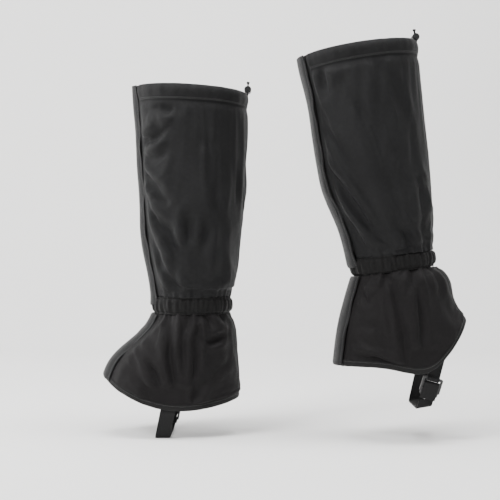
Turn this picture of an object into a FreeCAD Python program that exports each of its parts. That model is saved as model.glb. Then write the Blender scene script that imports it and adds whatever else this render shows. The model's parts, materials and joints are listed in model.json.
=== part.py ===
"""A pair of hiking gaiters in the stance of a walker: the right one upright on a flat foot, the left one
leaning on a foot whose heel is lifted. Toes point to -X, the wearer's left is -Y, up is +Z, millimetres.
The origin is the middle of the right instep strap's upper face, under the arch of the boot."""
import FreeCAD
import Part
import Sketcher
import math
import os

SIDES = ("right", "left")

# Each station is one slice of the tube: its front point and rear point (x, z) and its half width along Y.
STATIONS = {
    "right": {
        "top": (-38.0, 447.0, 105.6, 439.0, 63.0),
        "hem_line": (-36.7, 427.0, 105.7, 419.0, 63.2),
        "calf": (-32.0, 354.0, 105.5, 354.0, 63.0),
        "shin": (-28.0, 276.0, 98.5, 276.0, 57.5),
        "low_shin": (-18.5, 206.0, 91.0, 206.0, 50.5),
        "band_top": (-14.0, 177.0, 84.5, 177.0, 45.5),
        "band_middle": (-14.5, 166.0, 86.0, 166.0, 45.0),
        "band_low": (-13.0, 155.0, 83.0, 155.0, 44.5),
        "instep": (-34.0, 127.0, 92.0, 128.0, 49.0),
        "vamp": (-60.0, 103.0, 94.0, 92.0, 51.5),
        "hem": (-77.0, 73.0, 96.0, 47.0, 52.0),
        "below_hem": (-81.0, 40.0, 97.0, 8.0, 52.0),
    },
    "left": {
        "top": (174.0, 477.5, 318.3, 499.0, 63.0),
        "hem_line": (178.0, 457.9, 320.8, 479.1, 63.2),
        "calf": (192.0, 390.0, 329.5, 402.0, 63.0),
        "shin": (205.0, 314.0, 338.0, 329.0, 57.5),
        "low_shin": (225.5, 262.0, 340.5, 272.0, 50.5),
        "band_top": (236.0, 225.0, 340.0, 237.0, 45.5),
        "band_middle": (238.5, 214.5, 342.5, 227.0, 45.0),
        "band_low": (242.0, 203.5, 341.0, 217.0, 44.5),
        "instep": (234.0, 179.0, 360.0, 201.0, 49.0),
        "vamp": (222.0, 122.0, 369.0, 168.0, 51.5),
        "hem": (218.0, 92.3, 382.0, 150.6, 52.0),
        "below_hem": (212.0, 45.0, 394.0, 100.0, 52.0),
    },
}
TOP_HEM = ("top", "hem_line")
CALF = ("top", "hem_line", "calf", "shin", "low_shin", "band_top")
CALF_FLAP = CALF + ("band_middle",)
BAND = ("band_top", "band_middle", "band_low")
FOOT = ("band_low", "instep", "vamp", "hem", "below_hem")

# The lower edge of each foot panel, from toe to heel, as points (x, z) that a smooth curve passes through.
HEM_CURVE = {
    "right": (
        (-110.0, 112.0), (-77.0, 73.0), (-13.0, 40.0), (17.0, 35.0), (65.0, 39.0), (96.0, 47.0), (125.0, 60.0),
    ),
    "left": (
        (180.0, 95.0), (218.0, 93.0), (284.0, 91.0), (325.0, 87.0), (354.0, 110.0), (382.0, 150.6), (400.0, 180.0),
    ),
}

SIZES = {
    "fabric": 1.2,
    "slit_half_width": 1.5,
    "flap_standoff": 3.0,
    "flap_half_width": 26.0,
    "loop_tape_thickness": 1.0,
    "hook_tape_start": 1.7,
    "tape_near": 2.5,
    "tape_far": 21.0,
    "tape_end_margin": 9.0,
    "hem_channel_height": 20.0,
    "hem_channel_depth": 3.4,
    "hem_channel_wall": 0.6,
    "hem_channel_front": 27.5,
    "tunnel_ceiling": 1.2,
    "tunnel_height": 14.0,
    "cord_diameter": 2.0,
    "cord_spacing": 3.6,
    "cord_exit": 14.0,
    "eyelet_radius": 1.7,
    "eyelet_thickness": 0.6,
    "lock_diameter": 9.0,
    "lock_length": 15.5,
    "lock_wall": 1.35,
    "lock_centre_height": 5.6,
    "button_clearance": 0.08,
    "button_head": 4.0,
    "button_travel": 3.0,
    "spring_wire": 0.4,
    "spring_length": 2.7,
    "spring_radius": 2.2,
    "knot_radius": 2.0,
    "band_gap": 0.5,
    "elastic_margin": 4.0,
    "binding_height": 8.0,
    "binding_thickness": 1.0,
    "webbing_width": 19.0,
    "webbing": 1.5,
    "tab_width": 15.0,
    "tab_thickness": 2.4,
    "buckle_width": 25.0,
    "buckle_thickness": 3.0,
    "buckle_bar": 3.0,
    "buckle_slot_width": 19.6,
    "buckle_loop_slot": 5.5,
    "buckle_exit_slot": 4.5,
    "buckle_drop": 22.5,
    "lip_thickness": 1.8,
    "hook_width": 10.0,
    "hook_thickness": 1.2,
    "hook_drop": 13.0,
    "hook_reach": 6.0,
    "right_middle_y": 0.0,
    "right_outer": 1.0,
    "right_front_limit": 10.0,
    "right_arch_x": 0.0,
    "right_arch_z": 0.0,
    "right_arch_pitch": 0.0,
    "right_strap_lean": 12.0,
    "right_strap_y": 48.9,
    "right_strap_top": 55.0,
    "right_bar_z": 28.0,
    "right_buckle_slope": 18.0,
    "right_arch_half_width": 37.5,
    "right_hook_x": -63.0,
    "right_hook_z": 84.0,
    "right_hook_tilt": 28.0,
    "left_middle_y": -40.0,
    "left_outer": -1.0,
    "left_front_limit": 262.0,
    "left_arch_x": 325.0,
    "left_arch_z": 44.0,
    "left_arch_pitch": 10.0,
    "left_strap_lean": 25.0,
    "left_strap_y": 42.7,
    "left_strap_top": 58.0,
    "left_bar_z": 33.0,
    "left_buckle_slope": 12.0,
    "left_arch_half_width": 34.0,
    "left_hook_x": 231.0,
    "left_hook_z": 103.0,
    "left_hook_tilt": 8.0,
}

doc = FreeCAD.newDocument("gaiters")
sheet = doc.addObject("Spreadsheet::Sheet", "sizes")


def write_sheet():
    cells = dict(SIZES)
    for side in SIDES:
        for station, numbers in STATIONS[side].items():
            for field, number in zip(("front_x", "front_z", "rear_x", "rear_z", "half_width"), numbers):
                cells[f"{side}_{station}_{field}"] = number
    for row, (alias, number) in enumerate(cells.items(), start=1):
        sheet.set(f"A{row}", alias)
        sheet.set(f"B{row}", str(number))
        sheet.setAlias(f"B{row}", alias)
    doc.recompute()


def size(alias):
    return float(sheet.get(alias))


def bind(thing, **expressions):
    """Bind properties to sheet expressions. A double underscore in a name stands for a dot."""
    for name, expression in expressions.items():
        thing.setExpression(name.replace("__", "."), expression)
    return thing


def add(kind, name):
    return doc.addObject(kind, name)


def bound_box(name, x, y, z):
    """A box between two sheet expressions on each axis."""
    box = add("Part::Box", name)
    for length, base, (low, high) in (("Length", "x", x), ("Width", "y", y), ("Height", "z", z)):
        box.setExpression(length, f"({high}) - ({low})")
        box.setExpression(f"Placement.Base.{base}", low)
    return box


def cut(name, base, tool):
    thing = add("Part::Cut", name)
    thing.Base = base
    thing.Tool = tool
    return thing


def common(name, base, tool):
    thing = add("Part::Common", name)
    thing.Base = base
    thing.Tool = tool
    return thing


def fuse(name, *shapes):
    thing = add("Part::MultiFuse", name)
    thing.Shapes = list(shapes)
    return thing


# ---- slices and tubes ------------------------------------------------------------------------------------

def station_placement(side, station, shift=0.0):
    """The expression of a station's plane: its middle, local X from front to rear and Z out of the plane."""
    at = f"sizes.{side}_{station}"
    tilt = f"atan2({at}_rear_z - {at}_front_z; {at}_rear_x - {at}_front_x)"
    x = f"({at}_front_x + {at}_rear_x) / 2 - {shift} * sin({tilt})"
    z = f"({at}_front_z + {at}_rear_z) / 2 + {shift} * cos({tilt})"
    middle = f"create(<<vector>>; {x}; sizes.{side}_middle_y; {z})"
    turn = f"create(<<rotation>>; create(<<vector>>; 0; 1; 0); -{tilt})"
    return f"create(<<placement>>; {middle}; {turn})"


def offset_placement(side, station, x, y, z):
    shift = f"create(<<placement>>; create(<<vector>>; {x}; {y}; {z}); create(<<rotation>>; 0; 0; 0))"
    return f"{station_placement(side, station)} * {shift}"


def slice_at(side, station, grow, shift):
    at = f"sizes.{side}_{station}"
    ring = add("Part::Ellipse", f"{side}_{station}_slice")
    ring.MajorRadius = 1000
    length = f"sqrt(({at}_rear_x - {at}_front_x)^2 + ({at}_rear_z - {at}_front_z)^2)"
    upright = "create(<<vector>>; 0; 0; 1)"
    half_turn = f"create(<<placement>>; create(<<vector>>; 0; 0; 0); create(<<rotation>>; {upright}; 180))"
    bind(ring, MajorRadius=f"{length} / 2 + {grow}", MinorRadius=f"{at}_half_width + {grow}",
         Placement=f"{station_placement(side, station, shift)} * {half_turn}")
    return ring


SOLIDS = {}
OVERSHOOT = 1.0


def tube_solid(side, stations, grow, shifts, overshoot=0.0):
    """The solid inside the tube's wall moved outwards by grow, made once and shared.
    The two shifts move its ends along their normals."""
    key = (side, stations, grow, shifts, overshoot)
    if key not in SOLIDS:
        loft = add("Part::Loft", f"{side}_{stations[0]}_solid")
        shifts = [shifts[0] + overshoot] + [0.0] * (len(stations) - 2) + [shifts[1] - overshoot]
        loft.Sections = [slice_at(side, s, grow, shift) for s, shift in zip(stations, shifts)]
        loft.Solid = True
        loft.Ruled = False
        SOLIDS[key] = loft
    return SOLIDS[key]


def wall(name, side, stations, inner, outer, shifts=(0.0, 0.0)):
    """The tube between two offsets from the fabric's outer face. The hollow runs out past both ends."""
    hollow = tube_solid(side, stations, inner, shifts, OVERSHOOT)
    return cut(name, tube_solid(side, stations, outer, shifts), hollow)


def front_block(name, side, y_low, y_high, z=("0", "700")):
    """A block over the front of the leg, between two distances from the leg's middle plane."""
    middle = f"sizes.{side}_middle_y"
    return bound_box(name, ("-200", f"sizes.{side}_front_limit"), (f"{middle} + {y_low}", f"{middle} + {y_high}"), z)


def side_block(name, side, sign):
    """Everything on one side of the leg's middle plane."""
    middle = f"sizes.{side}_middle_y"
    y = (middle, f"{middle} + 150") if sign > 0 else (f"{middle} - 150", middle)
    return bound_box(name, ("-200", "600"), y, ("-50", "700"))


def slit(side):
    return front_block(f"{side}_slit", side, "-sizes.slit_half_width", "sizes.slit_half_width")


def outer_sign(side):
    return int(size(f"{side}_outer"))


def tape_block(name, side, z):
    """The closure tapes lie beside the slit, on the outer side of the leg."""
    near, far = "sizes.tape_near", "sizes.tape_far"
    if outer_sign(side) > 0:
        return front_block(name, side, near, far, z)
    return front_block(name, side, f"-{far}", f"-{near}", z)


# ---- fabric ----------------------------------------------------------------------------------------------

def two_panels(side, part, tube):
    """The tube's two halves, joined by the rear seam and parted by the slit at the front."""
    opened = cut(f"{side}_{part}_opened", tube, slit(side))
    for label, sign in (("outer", outer_sign(side)), ("inner", -outer_sign(side))):
        half = common(f"{side}_{part}_{label}", opened, side_block(f"{side}_{part}_{label}_side", side, sign))
        half.Label = f"{side}_{part}_{label}_panel"


def calf_panels(side):
    two_panels(side, "calf", wall(f"{side}_calf_tube", side, CALF, "-sizes.fabric", "0"))


def hem_cutter(side):
    """Everything under the lower hem, as a plate across the leg with a smooth upper edge."""
    points = [FreeCAD.Vector(x, size(f"{side}_middle_y") - 120, z) for x, z in HEM_CURVE[side]]
    edge = Part.BSplineCurve()
    edge.interpolate(points)
    floor = points[0].z - 300
    corners = [points[-1], FreeCAD.Vector(points[-1].x, points[0].y, floor),
               FreeCAD.Vector(points[0].x, points[0].y, floor), points[0]]
    face = Part.Face(Part.Wire([edge.toShape()] + Part.makePolygon(corners).Edges))
    cutter = add("Part::Feature", f"{side}_hem_cutter")
    cutter.Shape = face.extrude(FreeCAD.Vector(0, 240, 0))
    return cutter


def foot_panels(side, cutter):
    tube = wall(f"{side}_foot_tube", side, FOOT, "-sizes.fabric", "0")
    two_panels(side, "foot", cut(f"{side}_foot_trimmed", tube, cutter))


def hem_binding(side, cutter):
    """A tape folded over the lower edge, here its outer leaf: the strip just above the hem curve."""
    raised = add("Part::Feature", f"{side}_hem_cutter_raised")
    raised.Shape = cutter.Shape.translated(FreeCAD.Vector(0, 0, size("binding_height")))
    strip = cut(f"{side}_binding_strip", raised, cutter)
    ring = common(f"{side}_binding_ring", wall(f"{side}_binding_tube", side, FOOT, "0", "sizes.binding_thickness"),
                  strip)
    cut(f"{side}_binding", ring, slit(side)).Label = f"{side}_hem_binding"


def ankle_band(side):
    """The gathered fabric at the ankle and the elastic sewn behind it."""
    gathered = wall(f"{side}_band_tube", side, BAND, "-sizes.fabric", "0.8", (-size("band_gap"), 0.0))
    cut(f"{side}_band", gathered, slit(side)).Label = f"{side}_ankle_band"
    margin = size("elastic_margin")
    behind = wall(f"{side}_elastic_tube", side, BAND, "-2.6", "-sizes.fabric - 0.1", (-margin, margin))
    cut(f"{side}_elastic", behind, slit(side)).Label = f"{side}_ankle_elastic"


def top_hem(side):
    """A folded tunnel round the top edge, open at the front under the flap, with two holes for the cord."""
    front = front_block(f"{side}_fold_front", side, "-sizes.hem_channel_front", "sizes.hem_channel_front")
    fold = cut(f"{side}_fold", wall(f"{side}_fold_tube", side, TOP_HEM, "0.1", "sizes.hem_channel_depth"), front)
    ceiling, floor = -size("tunnel_ceiling"), size("hem_channel_height") - size("tunnel_height")
    tunnel = wall(f"{side}_tunnel", side, TOP_HEM, "sizes.hem_channel_wall + 0.1",
                  "sizes.hem_channel_depth - sizes.hem_channel_wall", (ceiling, floor))
    hollow = cut(f"{side}_fold_hollow", fold, tunnel)
    for sign in (-1, 1):
        hole = cord_run(side, sign, "-4", "4", "sizes.cord_diameter / 2 + 0.1")
        hollow = cut(f"{side}_fold_drilled", hollow, hole)
    hollow.Label = f"{side}_top_hem_channel"


# ---- closure ---------------------------------------------------------------------------------------------

def tape_heights(side, low_station, high_station):
    low = f"sizes.{side}_{low_station}_front_z + sizes.tape_end_margin"
    return low, f"sizes.{side}_{high_station}_front_z - sizes.tape_end_margin"


def closure(side, part, stations, heights, trim=None):
    """A flap over the slit with hook tape behind it, and loop tape on the panel."""
    outer = "sizes.flap_standoff + sizes.fabric"
    cover = wall(f"{side}_{part}_flap_tube", side, stations, "sizes.flap_standoff", outer)
    if trim:
        cover = cut(f"{side}_{part}_flap_trimmed", cover, trim)
    block = front_block(f"{side}_{part}_flap_block", side, "-sizes.flap_half_width", "sizes.flap_half_width")
    common(f"{side}_{part}_flap_strip", cover, block).Label = f"{side}_{part}_flap"
    panel_stations = CALF if part == "calf" else FOOT
    hook = wall(f"{side}_{part}_hook_tube", side, panel_stations, "sizes.hook_tape_start", "sizes.flap_standoff")
    common(f"{side}_{part}_hook_strip", hook, tape_block(f"{side}_{part}_hook_block", side, heights)).Label = \
        f"{side}_{part}_hook_tape"
    loop = wall(f"{side}_{part}_loop_tube", side, panel_stations, "0", "sizes.loop_tape_thickness")
    common(f"{side}_{part}_loop_strip", loop, tape_block(f"{side}_{part}_loop_block", side, heights)).Label = \
        f"{side}_{part}_loop_tape"


# ---- drawcord and cord lock ------------------------------------------------------------------------------

def rear_middle(side):
    """Distance along the top plane from its middle to the middle of the tunnel at the rear."""
    at = f"sizes.{side}_top"
    return (f"sqrt(({at}_rear_x - {at}_front_x)^2 + ({at}_rear_z - {at}_front_z)^2) / 2"
            " + sizes.hem_channel_depth / 2")


def cord_run(side, sign, low, high, radius):
    """A straight run of one cord, upright in the top plane at the rear."""
    run = add("Part::Cylinder", f"{side}_cord_run")
    y = f"{sign} * sizes.cord_spacing / 2"
    bind(run, Radius=radius, Height=f"({high}) - ({low})",
         Placement=offset_placement(side, "top", rear_middle(side), y, low))
    return run


def drawcord(side):
    """Two lengths, each sewn in at the front edge, run round in the tunnel and leave at the rear."""
    depth = size("cord_diameter")
    shifts = (-9 + depth, size("hem_channel_height") - 9)
    ring = wall(f"{side}_cord_tube", side, TOP_HEM, "0.9", "sizes.hem_channel_depth - 0.9", shifts)
    front = front_block(f"{side}_cord_front", side, "-sizes.hem_channel_front", "sizes.hem_channel_front")
    rear = add("Part::Box", f"{side}_cord_rear")
    bind(rear, Length="40", Width="sizes.cord_spacing", Height="20",
         Placement=offset_placement(side, "top", f"{rear_middle(side)} - 20", "-sizes.cord_spacing / 2", "-16"))
    around = cut(f"{side}_cord_around", cut(f"{side}_cord_ring", ring, front), rear)
    ends = [cord_run(side, sign, "-9", "sizes.cord_exit", "sizes.cord_diameter / 2") for sign in (-1, 1)]
    fuse(f"{side}_cord", around, *ends).Label = f"{side}_drawcord"


def eyelets(side):
    rings = []
    for sign in (-1, 1):
        disc = cord_run(side, sign, "0", "sizes.eyelet_thickness", "sizes.eyelet_radius")
        hole = cord_run(side, sign, "-1", "2", "sizes.cord_diameter / 2 + 0.1")
        rings.append(cut(f"{side}_eyelet", disc, hole))
    fuse(f"{side}_eyelet_pair", *rings).Label = f"{side}_drawcord_eyelets"


def knot(side):
    ball = add("Part::Sphere", f"{side}_knot")
    bind(ball, Radius="sizes.knot_radius",
         Placement=offset_placement(side, "top", rear_middle(side), "0", "sizes.cord_exit + 0.6"))
    ball.Label = f"{side}_drawcord_knot"


def lock_placement(side, y):
    """The lock's own frame: local Z along the barrel, across the leg, from the button to the base."""
    turn = "create(<<placement>>; create(<<vector>>; 0; 0; 0); create(<<rotation>>; 0; 0; -90))"
    return f"{offset_placement(side, 'top', rear_middle(side), y, 'sizes.lock_centre_height')} * {turn}"


def lock_cylinder(side, name, radius, start, length):
    body = add("Part::Cylinder", name)
    bind(body, Radius=radius, Height=length, Placement=lock_placement(side, start))
    return body


def lock_window(side, name, low, high):
    """The passage for the two cords, upright through the lock."""
    passage = add("Part::Box", name)
    x = f"{rear_middle(side)} - sizes.cord_diameter / 2 - 0.2"
    bind(passage, Length="sizes.cord_diameter + 0.4", Width=f"({high}) - ({low})", Height="20",
         Placement=offset_placement(side, "top", x, low, "sizes.lock_centre_height - 10"))
    return passage


def cord_lock(side):
    """A barrel with a sprung button: the cords run through both, and the button's edge grips them."""
    reach = "(sizes.cord_spacing + sizes.cord_diameter) / 2 + 0.2"
    bore = "sizes.lock_diameter / 2 - sizes.lock_wall"
    barrel = lock_cylinder(side, f"{side}_barrel", "sizes.lock_diameter / 2", "-6", "sizes.lock_length")
    hollow = lock_cylinder(side, f"{side}_barrel_bore", bore, "-6.5", "sizes.lock_length - 0.5")
    passage = lock_window(side, f"{side}_barrel_window", f"-({reach})", reach)
    cut(f"{side}_lock_barrel", barrel, fuse(f"{side}_barrel_tools", hollow, passage)).Label = \
        f"{side}_cord_lock_barrel"
    plunger = lock_cylinder(side, f"{side}_plunger", f"{bore} - sizes.button_clearance", "-6 - sizes.button_head",
                            "sizes.button_head + 10")
    window = lock_window(side, f"{side}_plunger_window", f"-({reach}) - sizes.button_travel", reach)
    cut(f"{side}_lock_button", plunger, window).Label = f"{side}_cord_lock_button"
    coil = add("Part::Helix", f"{side}_coil")
    coil.SegmentLength = 0.5
    bind(coil, Pitch="sizes.spring_length / 3", Height="sizes.spring_length", Radius="sizes.spring_radius")
    wire = add("Part::Circle", f"{side}_coil_wire")
    wire.Placement = FreeCAD.Placement(FreeCAD.Vector(size("spring_radius"), 0, 0), turn_about((1, 0, 0), 90))
    bind(wire, Radius="sizes.spring_wire / 2")
    spring = add("Part::Sweep", f"{side}_spring")
    spring.Sections = [wire]
    doc.recompute()
    spring.Spine = (coil, [f"Edge{n + 1}" for n in range(len(coil.Shape.Edges))])
    spring.Solid = True
    spring.Frenet = True
    bind(spring, Placement=lock_placement(side, "4.4"))
    spring.Label = f"{side}_cord_lock_spring"


# ---- webbing, buckle and lace hook -----------------------------------------------------------------------

def rounded_line(points, radii):
    """Edges through 2-D points (u, v), with a tangent arc at each inner point."""
    edges = []
    start = points[0]
    for before, corner, after, radius in zip(points, points[1:-1], points[2:], radii):
        into = (corner - before).normalize()
        out = (after - corner).normalize()
        half_turn = into.getAngle(out) / 2
        if half_turn < 0.01:
            continue
        back = radius * math.tan(half_turn)
        first, last = corner - into * back, corner + out * back
        bisector = (out - into).normalize()
        middle = corner + bisector * (radius / math.cos(half_turn) - radius)
        edges += [Part.makeLine(start, first), Part.Arc(first, middle, last).toShape()]
        start = last
    return edges + [Part.makeLine(start, points[-1])]


def strip_side(points, radii, offset):
    """The path moved sideways by offset, with its arcs kept concentric. The path lies in the YZ plane."""
    across = FreeCAD.Vector(1, 0, 0)
    runs = [(b - a).normalize() for a, b in zip(points, points[1:])]
    normals = [run.cross(across) for run in runs]
    moved = [points[0] + normals[0] * offset]
    for corner, n0, n1 in zip(points[1:-1], normals, normals[1:]):
        moved.append(corner + (n0 + n1) * (offset / (1 + n0.dot(n1))))
    moved.append(points[-1] + normals[-1] * offset)
    turned = []
    for radius, r0, r1 in zip(radii, runs, runs[1:]):
        turn = math.copysign(1, r0.cross(r1).dot(across))
        turned.append(radius + turn * offset)
    return rounded_line(moved, turned)


def bent_strip(name, path, radii, thickness, width):
    """A strip of constant thickness bent along a path of (y, z) points, as wide as width along X."""
    points = [FreeCAD.Vector(0, y, z) for y, z in path]
    left = strip_side(points, radii, thickness / 2)
    right = strip_side(points, radii, -thickness / 2)
    ends = [Part.makeLine(left[-1].Vertexes[-1].Point, right[-1].Vertexes[-1].Point),
            Part.makeLine(left[0].Vertexes[0].Point, right[0].Vertexes[0].Point)]
    outline = Part.Wire(Part.__sortEdges__(left + right + ends))
    face = Part.Face(outline)
    face.translate(FreeCAD.Vector(-width / 2, 0, 0))
    strip = add("Part::Feature", name)
    strip.Shape = face.extrude(FreeCAD.Vector(width, 0, 0))
    return strip


def turn_about(axis, degrees):
    return FreeCAD.Rotation(FreeCAD.Vector(*axis), degrees)


def arch_frame(side):
    """The strap's own frame: on the middle of its upper face under the arch, pitched with the sole."""
    base = FreeCAD.Vector(size(f"{side}_arch_x"), size(f"{side}_middle_y"), size(f"{side}_arch_z"))
    return FreeCAD.Placement(base, turn_about((0, 1, 0), -size(f"{side}_arch_pitch")))


def bar_frame(side):
    """The buckle's hinge bar, in the arch frame, leaning with the strap."""
    lean, height = size(f"{side}_strap_lean"), size(f"{side}_bar_z")
    shift = height * math.tan(math.radians(lean))
    base = FreeCAD.Vector(shift, size(f"{side}_outer") * size(f"{side}_strap_y"), height)
    return FreeCAD.Placement(base, turn_about((0, 1, 0), lean))


def instep_strap(side):
    """One webbing: sewn inside the inner panel, down the boot, under the arch and up to the buckle."""
    outer, y, half_arch = size(f"{side}_outer"), size(f"{side}_strap_y"), size(f"{side}_arch_half_width")
    layer, top, slope = size("webbing"), size(f"{side}_strap_top"), math.radians(size(f"{side}_buckle_slope"))
    reach = size("buckle_drop") + 2.2
    behind = 0.5 * (size("buckle_thickness") + layer) + 0.15
    end_y = y - reach * math.sin(slope) - behind * math.cos(slope)
    end_z = size(f"{side}_bar_z") - reach * math.cos(slope) + behind * math.sin(slope)
    path = [(-outer * y, top), (-outer * y, top - 22), (-outer * half_arch, -layer / 2),
            (outer * half_arch, -layer / 2), (outer * end_y, end_z)]
    band = bent_strip(f"{side}_strap_band", path, (18.0, 7.0, 3.2), layer, 90.0)
    outline = add("Part::Wedge", f"{side}_strap_outline")
    lean = f"tan(sizes.{side}_strap_lean)"
    low, high = f"-5 * {lean}", f"sizes.{side}_strap_top * {lean}"
    half = "sizes.webbing_width / 2"
    bind(outline, Xmin=f"{low} - {half}", Xmax=f"{low} + {half}", Ymin="-5", Ymax=f"sizes.{side}_strap_top",
         X2min=f"{high} - {half}", X2max=f"{high} + {half}", Zmin="-70", Zmax="70", Z2min="-70", Z2max="70")
    outline.Placement = FreeCAD.Placement(FreeCAD.Vector(0, 0, 0), turn_about((1, 0, 0), 90))
    strap = common(f"{side}_strap", band, outline)
    strap.Placement = arch_frame(side)
    strap.Label = f"{side}_instep_strap"


def looped_tab(name, inner_radius, loop_wall, width, plate, length):
    """A webbing tab: a loop round a bar along X at the origin, and its two sewn layers standing up from it."""
    outside = add("Part::Cylinder", f"{name}_outside")
    inside = add("Part::Cylinder", f"{name}_inside")
    for cylinder, radius, reach in ((outside, f"{inner_radius} + {loop_wall}", width),
                                    (inside, inner_radius, f"{width} + 2")):
        bind(cylinder, Radius=radius, Height=reach)
        cylinder.setExpression("Placement.Base.x", f"-({reach}) / 2")
        cylinder.Placement.Rotation = turn_about((0, 1, 0), 90)
    leaf = bound_box(f"{name}_leaf", (f"-({width}) / 2", f"({width}) / 2"), (f"-({plate}) / 2", f"({plate}) / 2"),
                     (f"{inner_radius} + 0.2", length))
    tab = cut(name, fuse(f"{name}_body", outside, leaf), inside)
    return tab


def buckle_tab(side):
    tab = looped_tab(f"{side}_tab", "2.3", "1.2", "sizes.tab_width", "sizes.tab_thickness",
                     f"sizes.{side}_strap_top - sizes.{side}_bar_z")
    tab.Placement = arch_frame(side).multiply(bar_frame(side))
    tab.Label = f"{side}_buckle_tab"


def sketch_on(body, role, name):
    plane = next(f for f in body.Origin.OriginFeatures if f.Role == role)
    sketch = body.newObject("Sketcher::SketchObject", name)
    sketch.AttachmentSupport = [(plane, "")]
    sketch.MapMode = "FlatFace"
    return sketch


def rectangle(sketch, name, width, low, high):
    """A rectangle centred on the sketch's vertical axis, its sizes bound to sheet expressions."""
    first = sketch.GeometryCount
    corners = [FreeCAD.Vector(x, y, 0) for x, y in ((-9, low[1]), (9, low[1]), (9, high[1]), (-9, high[1]))]
    for start, end in zip(corners, corners[1:] + corners[:1]):
        sketch.addGeometry(Part.LineSegment(start, end), False)
    for index in range(4):
        sketch.addConstraint(Sketcher.Constraint("Coincident", first + index, 2, first + (index + 1) % 4, 1))
    for index, direction in ((1, "Vertical"), (2, "Horizontal"), (3, "Vertical")):
        sketch.addConstraint(Sketcher.Constraint(direction, first + index))
    sketch.addConstraint(Sketcher.Constraint("Symmetric", first, 1, first, 2, -2))
    for label, constraint, expression in (
            ("width", Sketcher.Constraint("DistanceX", first, 1, first, 2, 18.0), width),
            ("low", Sketcher.Constraint("DistanceY", -1, 1, first, 1, low[1]), low[0]),
            ("high", Sketcher.Constraint("DistanceY", -1, 1, first + 2, 1, high[1]), high[0])):
        index = sketch.addConstraint(constraint)
        sketch.renameConstraint(index, f"{name}_{label}")
        sketch.setExpression(f"Constraints.{name}_{label}", expression)


def ladder_buckle(side):
    """Three bars in one moulded frame: the tab's bar on top, the bar the webbing turns over, and the grip bar."""
    body = add("PartDesign::Body", f"{side}_buckle_body")
    bar = "sizes.buckle_bar"
    top_low = f"-{bar} / 2"
    middle_high = f"{top_low} - sizes.buckle_loop_slot"
    middle_low = f"{middle_high} - {bar}"
    grip_high = f"{middle_low} - sizes.buckle_exit_slot"
    frame = sketch_on(body, "XY_Plane", f"{side}_frame_sketch")
    rectangle(frame, "rim", "sizes.buckle_width", (f"{grip_high} - {bar}", -17.5), (f"{bar} / 2", 1.5))
    rectangle(frame, "loop", "sizes.buckle_slot_width", (middle_high, -7.0), (top_low, -1.5))
    rectangle(frame, "exit", "sizes.buckle_slot_width", (grip_high, -14.5), (middle_low, -10.0))
    pad = body.newObject("PartDesign::Pad", f"{side}_frame_pad")
    pad.Profile = frame
    pad.SideType = "Symmetric"
    bind(pad, Length="sizes.buckle_thickness")
    doc.recompute()
    lip_sketch = sketch_on(body, "XY_Plane", f"{side}_lip_sketch")
    rectangle(lip_sketch, "lip", "sizes.buckle_width - 3", ("-sizes.buckle_drop", -22.5), (f"{grip_high} - 1", -15.5))
    lip = body.newObject("PartDesign::Pad", f"{side}_lip_pad")
    lip.Profile = lip_sketch
    lip.SideType = "Symmetric"
    bind(lip, Length="sizes.lip_thickness")
    doc.recompute()
    rim = [f"Edge{n + 1}" for n, edge in enumerate(lip.Shape.Edges) if is_rim_corner(edge)]
    round_off = body.newObject("PartDesign::Fillet", f"{side}_frame_fillet")
    round_off.Base = (lip, rim)
    bind(round_off, Radius="2")
    body.Placement = buckle_placement(side)
    body.Label = f"{side}_ladder_buckle"


def is_rim_corner(edge):
    """An upright edge at one of the outer corners of the frame or its lip."""
    box = edge.BoundBox
    upright = box.XLength < 0.01 and box.YLength < 0.01
    on_rim = abs(box.XMin) > size("buckle_width") / 2 - 0.1 and box.YMin > 0
    on_lip = box.YMin < 0.1 - size("buckle_drop")
    return upright and (on_rim or on_lip)


def buckle_placement(side):
    """Hung from the tab's bar, its top edge up and its back against the boot."""
    outer = size(f"{side}_outer")
    hang = FreeCAD.Placement(FreeCAD.Vector(0, 0, 0), turn_about((1, 0, 0), -outer * size(f"{side}_buckle_slope")))
    upright = FreeCAD.Placement(FreeCAD.Vector(0, 0, 0), turn_about((1, 0, 0), 90))
    facing = FreeCAD.Placement(FreeCAD.Vector(0, 0, 0), turn_about((0, 0, 1), 180 if outer > 0 else 0))
    return arch_frame(side).multiply(bar_frame(side)).multiply(hang).multiply(facing).multiply(upright)


def strap_end(side):
    """The webbing's free end: up behind the grip bar, over the middle bar and down the front as a tail."""
    layer = size("webbing") - 0.3
    turn = size("buckle_thickness") / 2 + 0.25 + layer / 2
    crown = -size("buckle_bar") / 2 - size("buckle_loop_slot") + turn + 0.2
    path = [(turn, -size("buckle_drop")), (turn, crown), (-turn, crown), (-turn, -size("buckle_drop") - 4)]
    strip = bent_strip(f"{side}_end_strip", path, (turn * 0.98, turn * 0.98), layer, size("webbing_width") - 0.4)
    upright = FreeCAD.Placement(FreeCAD.Vector(0, 0, 0), turn_about((1, 0, 0), -90))
    strip.Placement = buckle_placement(side).multiply(upright)
    strip.Label = f"{side}_strap_end"


def hook_frame(side):
    """The lace hook's bar, behind the front of the lower hem, on the inner side of the slit."""
    y = size(f"{side}_middle_y") - size(f"{side}_outer") * 9.0
    base = FreeCAD.Vector(size(f"{side}_hook_x"), y, size(f"{side}_hook_z"))
    return FreeCAD.Placement(base, turn_about((0, 0, 1), -90))


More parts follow.
